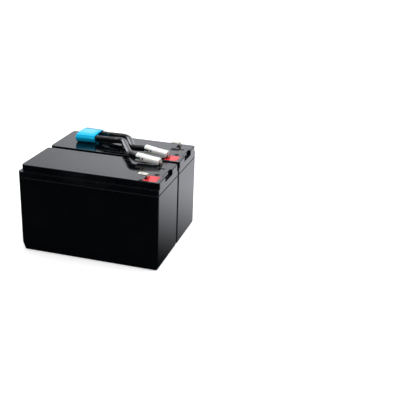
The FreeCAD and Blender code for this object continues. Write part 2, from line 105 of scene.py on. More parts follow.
# %%
LID_TOP = 0.095
BEND = Vector((0.0590, 0.0, LID_TOP + 0.0025))
BEND_RADIUS = 0.0014
SLEEVE_REACH = 0.0253
FRONT_TAB_Y = -0.0127
REAR_TAB_Y = 0.0127
FRONT_TILT = math.radians(5.0)
REAR_TILT = math.radians(6.7)


def behind_sleeve(tab_y, tilt, distance):
    """
    The point on a sleeve's middle line that lies `distance` behind its rear face. The line starts
    at the bend, is lifted off it by the bend's radius, and runs back and up at the tilt's angle.
    """
    reach = SLEEVE_REACH + distance
    x = BEND.x + BEND_RADIUS * math.sin(tilt) - reach * math.cos(tilt)
    z = BEND.z + BEND_RADIUS * math.cos(tilt) + reach * math.sin(tilt)
    return (x, tab_y, z)


for tab_y, tilt in ((FRONT_TAB_Y, FRONT_TILT), (REAR_TAB_Y, REAR_TILT)):
    print("sleeve's rear face at", [round(c, 4) for c in behind_sleeve(tab_y, tilt, 0.0)])

# %% [markdown]
# ## Cable routes
#
# A stiff short cable lies in a few wide bends. It goes straight out of the plug's pole, bows over
# the lids and comes straight into its sleeve. A tube of straight runs and arcs looks like bent
# wire, so each route is a short list of control points for one NURBS curve, which rounds every
# corner by itself. The first two and the last two points lie on the straight ends.
#
# The negative cable starts at the front block's sleeve and ends in the plug. The positive cable
# leaves the plug and goes back to the rear block.

# %%
HOOD_FLOOR_X = -0.0334
POLE_LEAD = 0.009
POLE_Z = LID_TOP + 0.0052
FRONT_POLE_Y = 0.03025
REAR_POLE_Y = 0.04775

negative_route = [
    behind_sleeve(FRONT_TAB_Y, FRONT_TILT, 0.0),
    behind_sleeve(FRONT_TAB_Y, FRONT_TILT, 0.0070),
    (0.0194, -0.0004, LID_TOP + 0.0070),
    (0.0121, 0.0116, LID_TOP + 0.0073),
    (0.0028, 0.0284, LID_TOP + 0.0074),
    (-0.0092, 0.0247, LID_TOP + 0.0073),
    (HOOD_FLOOR_X + POLE_LEAD, FRONT_POLE_Y, POLE_Z),
    (HOOD_FLOOR_X, FRONT_POLE_Y, POLE_Z),
]
positive_route = [
    (HOOD_FLOOR_X, REAR_POLE_Y, POLE_Z),
    (HOOD_FLOOR_X + POLE_LEAD, REAR_POLE_Y, POLE_Z),
    (-0.0148, 0.0416, LID_TOP + 0.0071),
    (0.0032, 0.0425, LID_TOP + 0.0073),
    (0.0117, 0.0280, LID_TOP + 0.0059),
    (0.0196, 0.0131, LID_TOP + 0.0057),
    behind_sleeve(REAR_TAB_Y, REAR_TILT, 0.0020),
    behind_sleeve(REAR_TAB_Y, REAR_TILT, 0.0),
]
print("control points", len(negative_route), "and", len(positive_route))

# %% [markdown]
# ## Cable curves
#
# A curve object with a round bevel is a tube of even thickness, and it stays smooth however it
# bends. A mesh swept along points would do too, but it needs more code. The bevel's depth is 1, so
# the radius of each point is the tube's real radius. The order of 3 and the rule that the curve
# starts and ends at its outer points are set after the points are added, because Blender lowers the
# order while a spline has too few points for it.

# %%
CABLE_DIAMETER = 0.007


def cable_curve(name, points):
    """A round cable: a NURBS curve of order 3 that starts and ends at its outer control points."""
    curve = bpy.data.curves.new(name, "CURVE")
    curve.dimensions = "3D"
    spline = curve.splines.new("NURBS")
    spline.points.add(len(points) - 1)
    for control, point in zip(spline.points, points):
        control.co = (*point, 1.0)
        control.radius = CABLE_DIAMETER / 2
    spline.order_u = 3
    spline.use_endpoint_u = True
    spline.use_smooth = True
    curve.resolution_u = 16
    curve.bevel_depth = 1.0
    curve.bevel_resolution = 8
    curve.use_fill_caps = True
    cable = bpy.data.objects.new(name, curve)
    bpy.context.collection.objects.link(cable)
    return cable


negative_cable = cable_curve("negative_cable_smooth", negative_route)
positive_cable = cable_curve("positive_cable_smooth", positive_route)
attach(negative_cable, "root")
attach(positive_cable, "root")
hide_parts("negative_cable")
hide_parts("positive_cable")
print("curves", negative_cable.name, positive_cable.name)

# Each route starts at the point where its cable leaves what holds it.

# %%
for route in (negative_route, positive_route):
    print("cord leaves at", [round(c, 4) for c in route[0]])

# %% [markdown]
# ## Squaring off a round shape
#
# The fine relief on the lids has a section between an ellipse and a rectangle, with flat sides and
# round corners. It could be a rectangle with a Bevel modifier. Raising the size of the ellipse's
# sine and cosine to a power below 1 gives the same section in one formula, and the power sets how
# square it is.

# %%
NEARLY_ZERO = 1e-9


def squarish(value, power):
    """The value's size raised to the power, with its sign kept. A rounding error counts as zero."""
    return np.sign(value) * np.abs(np.where(np.abs(value) < NEARLY_ZERO, 0.0, value)) ** power


for power in (1.0, 0.6, 0.35):
    corner = squarish(np.cos(math.pi / 4), power)
    print("power", power, "puts the corner at", round(float(corner), 3), "of the half width")

# %% [markdown]
# ## Surfaces from grids
#
# Each piece of relief is a surface of two parameters: one runs along the piece and one round it.
# numpy works out the whole grid of points at once, and the faces join each point to its
# neighbours. Points that fall together at a closed end are merged afterwards, so that the surface
# has no holes, and the normals are turned outwards.

# %%
MERGE = 1e-7


def grid_piece(name, grid, closed_rows):
    """
    A piece from a grid of points. Each face joins a point and its neighbour in the same row to the
    same two places in the next row. The last column joins the first, and so does the last row
    where `closed_rows` is true.
    """
    rows, columns = grid.shape[:2]
    here = np.arange(rows * columns).reshape(rows, columns)
    beside = np.roll(here, -1, axis=1)
    faces = np.dstack([here, beside, np.roll(beside, -1, axis=0), np.roll(here, -1, axis=0)])
    if not closed_rows:
        faces = faces[:-1]
    mesh = bpy.data.meshes.new(name)
    mesh.from_pydata(grid.reshape(-1, 3).tolist(), [], faces.reshape(-1, 4).tolist())
    mesh.validate()
    shell = bmesh.new()
    shell.from_mesh(mesh)
    bmesh.ops.remove_doubles(shell, verts=shell.verts, dist=MERGE)
    bmesh.ops.recalc_face_normals(shell, faces=shell.faces)
    shell.to_mesh(mesh)
    shell.free()
    mesh.polygons.foreach_set("use_smooth", np.ones(len(mesh.polygons), dtype=bool))
    piece = bpy.data.objects.new(name, mesh)
    bpy.context.collection.objects.link(piece)
    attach(piece, "root")
    print(name, len(mesh.polygons), "faces")
    return piece


print("points closer than", MERGE, "m are merged")

# %% [markdown]
# ## Beads along a level path
#
# Where a lid is welded to its case, a little plastic melts out and sets again as a bead all round
# the seam. Its matt black also fills the seam's groove as painted shade, so the seam shows as a dark
# line. A bevelled curve could follow the seam, but its section is always the same round one.
# Here a squarish section of its own width and height is carried along the path instead.

# %%
BEAD_SQUARE = 0.6
BEAD_SIDES = 16


def level_bead(name, path, z, out, tall, closed):
    """
    A squarish ring carried along a level path. Each point is the path's point, moved along the
    path's outward normal by `out` times the squared-off cosine of the angle round the ring, at
    the height z plus `tall` times its squared-off sine. An open bead closes on a point at each end.
    """
    if closed:
        along = np.roll(path, -1, axis=0) - np.roll(path, 1, axis=0)
    else:
        along = np.gradient(path, axis=0)
    along /= np.linalg.norm(along, axis=1)[:, None]
    normal = np.column_stack([along[:, 1], -along[:, 0]])
    size = np.ones(len(path))
    if not closed:
        size[[0, -1]] = 0.0
    v = np.linspace(0.0, 2 * math.pi, BEAD_SIDES, endpoint=False)
    across = squarish(np.cos(v), BEAD_SQUARE)
    upright = squarish(np.sin(v), BEAD_SQUARE)
    flat = path[:, None] + out * size[:, None, None] * across[None, :, None] * normal[:, None]
    height = z + tall * size[:, None] * upright[None, :]
    return grid_piece(name, np.dstack([flat, height[..., None]]), closed)


print("a bead has", BEAD_SIDES, "sides")

# %% [markdown]
# ## The seam's outline
#
# The weld seam follows the case's upright sides and turns round its four corners. A corner needs
# points and a straight side needs none between its ends, so the outline is four quarter circles,
# and the sides are what joins them.

# %%
BLOCK_HALF = (0.0755, 0.0325)
BLOCK_CORNER = 0.003
BEAD_INSET = 0.0007


def rounded_rectangle(half, corner, inset):
    """
    A rectangle's outline moved in by an inset. In each quarter it is a circle's arc round the
    corner's centre, over that quarter's 90 degrees, with the corner's radius less the inset.
    """
    quarters = []
    for quarter, (sx, sy) in enumerate(((1, 1), (-1, 1), (-1, -1), (1, -1))):
        t = (np.linspace(0.0, 1.0, 9) + quarter) * math.pi / 2
        x = sx * (half[0] - corner) + (corner - inset) * np.cos(t)
        y = sy * (half[1] - corner) + (corner - inset) * np.sin(t)
        quarters.append(np.column_stack([x, y]))
    return np.concatenate(quarters)


seam_outline = rounded_rectangle(BLOCK_HALF, BLOCK_CORNER, BEAD_INSET)
print("seam outline", len(seam_outline), "points")

# %% [markdown]
# ## Painted dark edge line
#
# A thin matt strip follows the lid's top edge at the terminal end and turns in round the grip
# recess. It is a painted dark line, for the dark that the rounded edge reflects. The path could be
# drawn with corners, but the real line turns on a tiny radius, so a steep smooth step carries it in
# and out.

# %%
EDGE_SHADE_X = 0.0751
EDGE_SHADE_HALF_LENGTH = 0.0262
RECESS_DEPTH = 0.0025
RECESS_HALF_LENGTH = 0.0120
RECESS_TURN = 0.00005


def edge_shade_path(middle):
    """
    The painted dark line's path on the block with its middle at this Y. X is the edge, less the
    recess's depth divided by one plus e to the power of the distance past the recess's end, counted
    in turns.
    """
    y = np.linspace(-EDGE_SHADE_HALF_LENGTH, EDGE_SHADE_HALF_LENGTH, 241)
    step = 1.0 + np.exp((np.abs(y) - RECESS_HALF_LENGTH) / RECESS_TURN)
    return np.column_stack([EDGE_SHADE_X - RECESS_DEPTH / step, middle + y])


print("edge shade line reaches in to x", round(float(edge_shade_path(0.0)[:, 0].min()), 5))

# %% [markdown]
# ## Polarity signs
#
# A plus and a minus are moulded beside the terminals. Text could be turned into a mesh, but its
# strokes have sharp flat faces. A squarish ellipsoid has the soft rounded top of a moulded stroke,
# and two of them cross to make the plus.

# %%
SIGN_SQUARE = 0.35


def stroke_grid(centre, half):
    """
    A rounded bar, as a globe is drawn from latitude u and longitude v: along X its half size times
    cos u times cos v, along Y times cos u times sin v, and along Z times sin u, all squared off.
    """
    u = np.linspace(-math.pi / 2, math.pi / 2, 9)[:, None]
    v = np.linspace(0.0, 2 * math.pi, 24, endpoint=False)[None, :]
    ring = squarish(np.cos(u), SIGN_SQUARE)
    x = centre[0] + half[0] * ring * squarish(np.cos(v), SIGN_SQUARE)
    y = centre[1] + half[1] * ring * squarish(np.sin(v), SIGN_SQUARE)
    z = centre[2] + half[2] * squarish(np.sin(u), SIGN_SQUARE) * np.ones_like(v)
    return np.dstack([x, y, z])


print("stroke grid", stroke_grid((0.0, 0.0, 0.0), (1.0, 1.0, 1.0)).shape)

# %% [markdown]
# ## Relief on both blocks
#
# The two blocks are alike, so one loop gives each its bead, its painted dark edge line and its signs.

# %%
BLOCK_Y = 0.0329
SEAM_Z = 0.082
BEAD_OUT, BEAD_TALL = 0.00067, 0.00074
# The matt strip along the lid's end edge is a painted dark line, for the dark that the edge reflects.
EDGE_SHADE_DROP = 0.0003
EDGE_SHADE_OUT, EDGE_SHADE_TALL = 0.00039, 0.00036
SIGN_X = 0.0656
PLUS_SHIFT = -0.0082
MINUS_SHIFT = 0.0102
STROKE_LENGTHWAYS = (0.0028, 0.00095, 0.00030)
STROKE_CROSSWAYS = (0.00095, 0.0028, 0.00030)

relief = []
for block, middle in (("front", -BLOCK_Y), ("rear", BLOCK_Y)):
    seam = seam_outline + (0.0, middle)
    # The weld bead's matt black is also painted shade in the seam's groove.
    relief.append(level_bead(block + "_weld_bead", seam, SEAM_Z, BEAD_OUT, BEAD_TALL, True))
    edge = edge_shade_path(middle)
    # A matt strip along the lid's end edge, as a painted dark line.
    edge_shade_z = LID_TOP - EDGE_SHADE_DROP
    relief.append(level_bead(block + "_edge_flash", edge, edge_shade_z, EDGE_SHADE_OUT, EDGE_SHADE_TALL, False))
    for name, shift, half in (
        ("_plus_sign_bar", PLUS_SHIFT, STROKE_LENGTHWAYS),
        ("_plus_sign_stem", PLUS_SHIFT, STROKE_CROSSWAYS),
        ("_minus_sign", MINUS_SHIFT, STROKE_LENGTHWAYS),
    ):
        stroke = stroke_grid((SIGN_X, middle + shift, LID_TOP), half)
        relief.append(grid_piece(block + name, stroke, False))
print("relief", len(relief), "pieces")

# %% [markdown]
# ## A small language for materials
#
# A material is a graph of nodes. It could be built node by node, but then its formula can't be
# read. `Wire` wraps one output socket. Arithmetic on it adds Math nodes, `mix` blends two colours,
# `ramp` rises between two limits and `node` makes anything else, so that a material reads like the
# formula it stands for.


# %%
class Wire:
    """An output socket of a node tree, or with no socket the tree itself."""

    def __init__(self, tree, socket=None):
        self.tree = tree
        self.socket = socket

    def put(self, value, target):
        """Sends a wire or a constant into an input socket."""
        if isinstance(value, Wire):
            self.tree.links.new(value.socket, target)
        else:
            target.default_value = value

    def node(self, kind, output=0, settings=None, **inputs):
        """Any node, with its settings and named inputs, as the wire of one of its outputs."""
        made = self.tree.nodes.new(kind)
        for key, value in (settings or {}).items():
            setattr(made, key, value)
        for key, value in inputs.items():
            self.put(value, made.inputs[key.replace("_", " ")])
        return Wire(self.tree, made.outputs[output])

    def math(self, operation, *values):
        """A Math node over the given values."""
        made = self.tree.nodes.new("ShaderNodeMath")
        made.operation = operation
        for target, value in zip(made.inputs, values):
            self.put(value, target)
        return Wire(self.tree, made.outputs[0])

    def __add__(self, other):
        return self.math("ADD", self, other)

    def __radd__(self, other):
        return self.math("ADD", other, self)

    def __sub__(self, other):
        return self.math("SUBTRACT", self, other)

    def __rsub__(self, other):
        return self.math("SUBTRACT", other, self)

    def __mul__(self, other):
        return self.math("MULTIPLY", self, other)

    def __rmul__(self, other):
        return self.math("MULTIPLY", other, self)

    def ramp(self, low, high, from_value=0.0, to_value=1.0):
        """Rises smoothly from one value to another between two limits, and is flat outside."""
        smooth = {"interpolation_type": "SMOOTHSTEP"}
        limits = {"From_Min": low, "From_Max": high, "To_Min": from_value, "To_Max": to_value}
        return self.node("ShaderNodeMapRange", settings=smooth, Value=self, **limits)

    def mix(self, first, second):
        """
        The first colour where this wire is 0 and the second where it is 1. A Mix node keeps its
        factor at place 0, its two colours at 6 and 7, and its blended colour at 2.
        """
        made = self.tree.nodes.new("ShaderNodeMix")
        made.data_type = "RGBA"
        self.put(self, made.inputs[0])
        for colour, target in ((first, made.inputs[6]), (second, made.inputs[7])):
            self.put(colour if isinstance(colour, Wire) else (*colour, 1.0), target)
        return Wire(self.tree, made.outputs[2])


print("wires do", [name for name in vars(Wire) if not name.startswith("__")])

# %% [markdown]
# ## Patterns
#
# Nearly every finish is made of noise at two or three scales. `noise` takes its size in features
# to the metre, because the pieces are in metres and the patterns read Object coordinates. `scaled`
# stretches a pattern along an axis, for flow lines, rolling marks and scuffs.


# %%
def noise(tree, where, scale, detail=2.0, roughness=0.5):
    """Fractal noise from 0 to 1, with about `scale` features to the metre."""
    return tree.node(
        "ShaderNodeTexNoise", Vector=where, Scale=scale, Detail=detail, Roughness=roughness
    )


def scaled(tree, where, factors):
    """A place multiplied axis by axis."""
    made = tree.tree.nodes.new("ShaderNodeVectorMath")
    made.operation = "MULTIPLY"
    tree.put(where, made.inputs[0])
    made.inputs[1].default_value = factors
    return Wire(tree.tree, made.outputs[0])


print("made", noise.__name__, "and", scaled.__name__)

# %% [markdown]
# ## Fine relief and worn edges
#
# Orange peel and grain are too fine for geometry, so a Bump node tilts the normal instead. Moulded
# edges are never quite sharp either. A Bevel modifier would round them with many faces, while a
# Bevel node only rounds the light on them, which is all that shows at under a millimetre.

# %%
EDGE_SAMPLES = 4


def bumped(tree, height, distance, edge=0.0):
    """A normal from a height wire of 0 to 1, where 1 is `distance` metres, on edges worn round."""
    if edge:
        worn = tree.node("ShaderNodeBevel", settings={"samples": EDGE_SAMPLES}, Radius=edge)
        return tree.node("ShaderNodeBump", Height=height, Distance=distance, Normal=worn)
    return tree.node("ShaderNodeBump", Height=height, Distance=distance)


print("made", bumped.__name__)

# %% [markdown]
# ## One frame for every finish
#
# All materials start alike: a Principled shader, Object coordinates, a few constants and a few
# sockets that vary. So one function does that, and each finish below is only a formula that takes
# the coordinates and gives back what varies.


# %%
def finish_material(name, build, **constants):
    """A Principled material with constants on the shader's own sockets, and the rest from `build`."""
    material = bpy.data.materials.new(name)
    material.use_nodes = True
    shader = material.node_tree.nodes["Principled BSDF"]
    tree = Wire(material.node_tree)
    for key, value in constants.items():
        shader.inputs[key.replace("_", " ")].default_value = value
    where = tree.node("ShaderNodeTexCoord", output="Object")
    for key, value in build(tree, where).items():
        tree.put(value, shader.inputs[key.replace("_", " ")])
    print(name, len(material.node_tree.nodes), "nodes")
    return material


print("made", finish_material.__name__)

# %% [markdown]
# ## Black mouldings
#
# The lids are mirror-glossy and the cases nearly so. Both are black ABS with long shallow waves
# from cooling, a fine orange peel, and a thin film of dust that dulls the gloss in patches. The
# plastic itself is almost black, so what shows is the room in it. That is why the waves and the
# dust matter more than the colour, and why both mouldings share one recipe.

# %%
WORN_EDGE = 0.0004


def black_plastic(gloss, dust, wave):
    """Builds a black moulding: roughness and a trace of grey follow the dust."""

    def build(tree, where):
        film = noise(tree, where, 22.0, 5.0, 0.62).ramp(0.42, 0.78)
        specks = noise(tree, where, 1500.0, 1.0, 0.4).ramp(0.70, 0.80)
        lengthways = scaled(tree, where, (40.0, 900.0, 300.0))
        scuffs = noise(tree, lengthways, 1.0, 3.0, 0.6).ramp(0.66, 0.80)
        peel = noise(tree, where, 900.0, 2.0, 0.5)
        return {
            "Base_Color": (film * 0.35 + specks * 0.65).mix((0.0006, 0.0017, 0.0028), dust),
            "Roughness": gloss + 0.07 * film + 0.10 * specks + 0.05 * scuffs,
            "Normal": bumped(
                tree, noise(tree, where, 16.0, 1.0, 0.3) * wave + peel * 0.012, 0.001, WORN_EDGE
            ),
        }

    return build


lid_look = black_plastic(gloss=0.07, dust=(0.016, 0.017, 0.019), wave=0.08)
case_look = black_plastic(gloss=0.13, dust=(0.004, 0.005, 0.006), wave=0.08)
lid_black = finish_material("lid_black", lid_look, IOR=1.53)
case_black = finish_material("case_black", case_look, IOR=1.50)

# %% [markdown]
# ## Remelted and stamped plastic
#
# Plastic that has melted and set again, as in the weld bead, loses its gloss, and so do the signs.
# The same matt black makes the painted dark line along the lid's end edge, and the bead's painted
# shade in the seam's groove. A low specular level keeps the bead from shining where the polished lid
# beside it does.


# %%
def remelt_look(tree, where):
    """Matt black plastic: a fine crumbly skin with a few greyer crumbs."""
    crumbs = noise(tree, where, 1700.0, 3.0, 0.6)
    return {
        "Base_Color": crumbs.ramp(0.55, 0.8).mix((0.004, 0.004, 0.005), (0.016, 0.016, 0.017)),
        "Roughness": 0.55 + 0.25 * crumbs,
        "Normal": bumped(tree, crumbs, 0.00006),
    }


matt_black = finish_material("matt_black", remelt_look, Specular_IOR_Level=0.15)

# %% [markdown]
# ## Terminal resin
#
# Each terminal is potted in coloured resin, red for positive and black for negative. Cast resin is
# a little brighter where it is thick, and holds a few pinhole bubbles. It could be see-through, but
# the filled resin is dense, so soft patches of a brighter colour give the same depth.


# %%
def resin(deep, bright):
    """Builds cast resin: brighter in thick soft patches, with a few pinhole bubbles."""

    def build(tree, where):
        patch = noise(tree, where, 130.0, 3.0, 0.5)
        bubbles = tree.node("ShaderNodeTexVoronoi", Vector=where, Scale=520.0)
        pits = bubbles.ramp(0.05, 0.16, 1.0, 0.0)
        return {
            "Base_Color": patch.ramp(0.3, 0.7).mix(deep, bright),
            "Roughness": 0.16 + 0.10 * patch + 0.15 * pits,
            "Normal": bumped(tree, patch * 0.5 - pits * 0.25, 0.0003),
        }

    return build


red_look = resin(deep=(0.52, 0.006, 0.011), bright=(0.82, 0.018, 0.028))
black_look = resin(deep=(0.006, 0.006, 0.007), bright=(0.018, 0.018, 0.020))
red_resin = finish_material("red_resin", red_look, Specular_IOR_Level=0.32)
black_resin = finish_material("black_resin", black_look, IOR=1.55)

# %% [markdown]
# ## Plated metal
#
# The blades are tinned brass strip, the receptacles are tinned too, and the plug's contacts are
# silver-plated. The receptacles' tin is painted dark, as painted shade for their place inside the
# sleeves, and is rougher too. All are rolled sheet: fine lines run along the strip, the plating is
# cloudy, and handling leaves marks across it. Only the tint and the gloss differ, so one recipe makes
# all three.


# %%
def plated(tint, cloud, rough):
    """Builds plated sheet metal: rolling lines along X, cloudy plating and faint handling marks."""

    def build(tree, where):
        lines = noise(tree, scaled(tree, where, (90.0, 5200.0, 5200.0)), 1.0, 3.0, 0.6)
        clouds = noise(tree, where, 260.0, 4.0, 0.6)
        crossways = scaled(tree, where, (2200.0, 240.0, 900.0))
        marks = noise(tree, crossways, 1.0, 2.0, 0.5).ramp(0.68, 0.8)
        return {
            "Base_Color": clouds.ramp(0.35, 0.75).mix(tint, cloud),
            "Roughness": rough + 0.14 * lines + 0.10 * clouds + 0.12 * marks,
            "Normal": bumped(tree, lines * 0.6 + marks * 0.4, 0.00004),
        }

    return build


tin_look = plated(tint=(0.74, 0.71, 0.62), cloud=(0.60, 0.57, 0.49), rough=0.24)
# The receptacles' dark tint is painted shade for their place inside the sleeves.
shaded_tin_look = plated(tint=(0.17, 0.20, 0.25), cloud=(0.10, 0.12, 0.15), rough=0.34)
silver_look = plated(tint=(0.88, 0.87, 0.84), cloud=(0.74, 0.73, 0.70), rough=0.18)
tinned_brass = finish_material("tinned_brass", tin_look, Metallic=1.0)
dull_tin = finish_material("dull_tin", shaded_tin_look, Metallic=1.0)
silver_plate = finish_material("silver_plate", silver_look, Metallic=1.0)

# %% [markdown]
# ## Cast lead
#
# The pillars and the links between the cells are cast lead. Fresh lead shines and then turns grey,
# so the bloom of oxide lowers the metallic value and raises the roughness together.


# %%
def cast_lead_look(tree, where):
    """Dull grey cast lead: oxide bloom in patches over a finely pitted skin."""
    bloom = noise(tree, where, 180.0, 5.0, 0.6).ramp(0.35, 0.7)
    pits = noise(tree, where, 2600.0, 2.0, 0.5)
    return {
        "Base_Color": bloom.mix((0.20, 0.21, 0.23), (0.34, 0.34, 0.35)),
        "Roughness": 0.42 + 0.28 * bloom,
        "Metallic": 0.9 - 0.5 * bloom,
        "Normal": bumped(tree, pits, 0.00008),
    }


cast_lead = finish_material("cast_lead", cast_lead_look)

# %% [markdown]
# ## Plates and glass mat
#
# Each cell is a pack of thin pasted plates with white glass mat between them. Modelling every plate
# would cost many faces inside a closed case, so stripes across the pack show where they are.


# %%
def plates_look(tree, where):
    """Pressed plates between glass mat: stripes across the pack, with a fibrous, pasted grain."""
    stripes = tree.node(
        "ShaderNodeTexWave",
        output="Fac",
        settings={"bands_direction": "Y", "wave_profile": "SIN"},
        Vector=where,
        Scale=48.0,
        Distortion=0.4,
    )
    fibres = noise(tree, scaled(tree, where, (1800.0, 300.0, 500.0)), 1.0, 4.0, 0.6)
    plate = fibres.mix((0.10, 0.085, 0.075), (0.26, 0.25, 0.25))
    mat = fibres.mix((0.66, 0.65, 0.62), (0.82, 0.81, 0.79))
    return {
        "Base_Color": stripes.ramp(0.42, 0.58).mix(plate, mat),
        "Roughness": 0.75 + 0.2 * fibres,
        "Normal": bumped(tree, fibres, 0.0002),
    }


plates_and_mat = finish_material("plates_and_mat", plates_look)

# %% [markdown]
# ## Rubber and foam
#
# The valve caps under the vent covers are black rubber, dusted with talc so that they don't stick.
# The strip between the cases is dark closed-cell foam. The foam's cells come from a Voronoi
# pattern, which shares out a space as packed bubbles do.


# %%
def rubber_look(tree, where):
    """Matt black rubber with a dusting of talc in its fine grain."""
    grain = noise(tree, where, 1400.0, 3.0, 0.6)
    talc = noise(tree, where, 240.0, 4.0, 0.6).ramp(0.5, 0.8)
    return {
        "Base_Color": talc.mix((0.018, 0.018, 0.018), (0.060, 0.059, 0.056)),
        "Roughness": 0.60 + 0.25 * grain,
        "Normal": bumped(tree, grain, 0.00006),
    }


def foam_look(tree, where):
    """Dark closed-cell foam: small round cells with thin lighter walls."""
    cells = tree.node("ShaderNodeTexVoronoi", Vector=where, Scale=1900.0)
    walls = cells.ramp(0.2, 0.6)
    return {
        "Base_Color": walls.mix((0.020, 0.020, 0.020), (0.085, 0.085, 0.082)),
        "Roughness": 0.80 + 0.15 * walls,
        "Normal": bumped(tree, walls, 0.00012),
    }


valve_rubber = finish_material("valve_rubber", rubber_look)
foam = finish_material("foam", foam_look)

# %% [markdown]
# ## Blue plug housing
#
# The plug is moulded in one vivid cyan-blue, satin rather than glossy, with flow streaks along its
# length. A paler, glossier patch on its crown is a painted highlight, and a deeper blue along the
# crown's rear margin is painted shade. The patch could be a thin piece of its own, but it has no
# thickness, so soft limits in the material mark it out. A low specular level keeps the blue pure,
# because a strong white sheen would wash it out.

# %%
PLUG_EDGE = 0.0007
# These limits mark out painted shade along the crown's rear margin and a painted highlight on its
# top.
# Each limit is a pair: where its side starts to fade in, and where it is full.
CROWN_Z = (0.1030, 0.1038)
SHADE_Z = (0.1005, 0.1015)
SHADE_Y = (0.0445, 0.0460)
HIGHLIGHT_FRONT = (0.0300, 0.0320)
HIGHLIGHT_REAR = (0.0455, 0.0440)
HIGHLIGHT_LEFT = (-0.0505, -0.0490)
HIGHLIGHT_RIGHT = (-0.0335, -0.0350)


def blue_look(tree, where):
    """Satin blue moulding: flow streaks along X, fine peel, light scuffs, and painted highlight and
    shade on the crown.
    """
    flow = noise(tree, scaled(tree, where, (60.0, 260.0, 260.0)), 1.0, 4.0, 0.55)
    peel = noise(tree, where, 1100.0, 2.0, 0.5)
    lengthways = scaled(tree, where, (260.0, 2400.0, 900.0))
    scuffs = noise(tree, lengthways, 1.0, 2.0, 0.5).ramp(0.66, 0.8)
    x, y, z = (tree.node("ShaderNodeSeparateXYZ", output=axis, Vector=where) for axis in "XYZ")
    # Painted shade: a deeper blue along the crown's rear margin.
    painted_shade = z.ramp(*SHADE_Z) * y.ramp(*SHADE_Y)
    # Painted highlight: a paler, glossier patch on top of the crown.
    painted_highlight = z.ramp(*CROWN_Z) * y.ramp(*HIGHLIGHT_FRONT) * y.ramp(*HIGHLIGHT_REAR)
    painted_highlight = painted_highlight * x.ramp(*HIGHLIGHT_LEFT) * x.ramp(*HIGHLIGHT_RIGHT)
    body = flow.ramp(0.3, 0.7).mix((0.000, 0.490, 0.860), (0.000, 0.580, 0.930))
    body = painted_shade.mix(body, (0.000, 0.300, 0.500))
    body = (painted_highlight * 0.9).mix(body, (0.130, 0.640, 0.880))
    return {
        "Base_Color": (scuffs * 0.35).mix(body, (0.10, 0.48, 0.74)),
        "Roughness": 0.30 + 0.08 * flow + 0.14 * scuffs - 0.10 * painted_highlight,
        "Normal": bumped(tree, flow * 0.4 + peel * 0.10, 0.0003, PLUG_EDGE),
    }


blue_plastic = finish_material("blue_plastic", blue_look, Specular_IOR_Level=0.2)

# %% [markdown]
# ## Nylon sleeves
#
# Natural nylon is milky: light goes a few millimetres in and comes out again. Subsurface scattering
# shows that softness, which a white paint wouldn't.


# %%
def nylon_look(tree, where):
    """Natural nylon: milky white with a faint warm cast in patches and a finely dulled skin."""
    cloud = noise(tree, where, 150.0, 4.0, 0.55).ramp(0.35, 0.7)
    skin = noise(tree, where, 1600.0, 2.0, 0.5)
    return {
        "Base_Color": cloud.mix((0.90, 0.90, 0.89), (0.82, 0.81, 0.77)),
        "Roughness": 0.30 + 0.12 * skin + 0.08 * cloud,
        "Normal": bumped(tree, skin, 0.00008),
    }


nylon = finish_material(
    "nylon", nylon_look, IOR=1.53, Subsurface_Weight=0.35, Subsurface_Scale=0.003
)

# %% [markdown]
# ## Cable jacket
#
# The jacket is glossy soft vinyl. It isn't perfectly round: the extruder leaves shallow waves,
# which break up the long highlight. A grey bloom and fine dust settle on it.


# %%
def jacket_look(tree, where):
    """Glossy black cable jacket: shallow extrusion waves, faint grey bloom and fine dust."""
    wave = noise(tree, where, 160.0, 3.0, 0.5)
    bloom = noise(tree, where, 420.0, 4.0, 0.65).ramp(0.5, 0.8)
    dust = noise(tree, where, 2600.0, 1.0, 0.4).ramp(0.70, 0.80)
    pale = bloom * 0.5 + dust * 0.5
    return {
        "Base_Color": pale.mix((0.0045, 0.0045, 0.0050), (0.022, 0.022, 0.023)),
        "Roughness": 0.17 + 0.10 * bloom + 0.12 * dust,
        "Normal": bumped(tree, wave, 0.00025),
    }


cable_jacket = finish_material("cable_jacket", jacket_look, IOR=1.54)

# %% [markdown]
# ## Materials onto the pieces
#
# Each piece could be given its material by hand, but the names already say what the pieces are. So
# one list pairs a key in the name with a finish and with the record's slot. The keys are chosen so
# that every name holds just one of them.

# %%
FINISHES = [
    # The weld bead is matt partly as painted shade in the seam's groove.
    ("_bead", matt_black, "lid_plastic"),
    # The strip along the lid's end edge is matt as a painted dark line.
    ("_flash", matt_black, "lid_plastic"),
    ("_sign", matt_black, "lid_plastic"),
    ("vent_cover", lid_black, "lid_plastic"),
    ("vent_valves", valve_rubber, "valve_rubber"),
    ("lid", lid_black, "lid_plastic"),
    ("case", case_black, "case_plastic"),
    ("positive_seal", red_resin, "red_resin"),
    ("negative_seal", black_resin, "black_resin"),
    ("_tab", tinned_brass, "tinned_brass"),
    # The receptacles get the dark tin that is painted shade.
    ("_receptacle", dull_tin, "tinned_brass"),
    ("_contact", silver_plate, "silver_plate"),
    ("_pillar", cast_lead, "cast_lead"),
    ("_cell_link_", cast_lead, "cast_lead"),
    ("_plate_pack_", plates_and_mat, "plates_and_glass_mat"),
    ("foam_tape", foam, "foam"),
    ("plug_housing", blue_plastic, "blue_plastic"),
    ("_sleeve", nylon, "nylon"),
    ("_cable", cable_jacket, "cable_jacket"),
]


def dress(piece, name):
    """Gives a piece the finish whose key its name holds."""
    for key, material, slot in FINISHES:
        if key in name:
            piece.data.materials.clear()
            piece.data.materials.append(material)
            return
    raise ValueError("no finish for " + name)


for name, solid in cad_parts.items():
    dress(solid, name)
for cable in (negative_cable, positive_cable):
    dress(cable, cable.name)
for piece in relief:
    dress(piece, piece.name)
print("dressed", len(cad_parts), "solids, 2 cables and", len(relief), "pieces of relief")

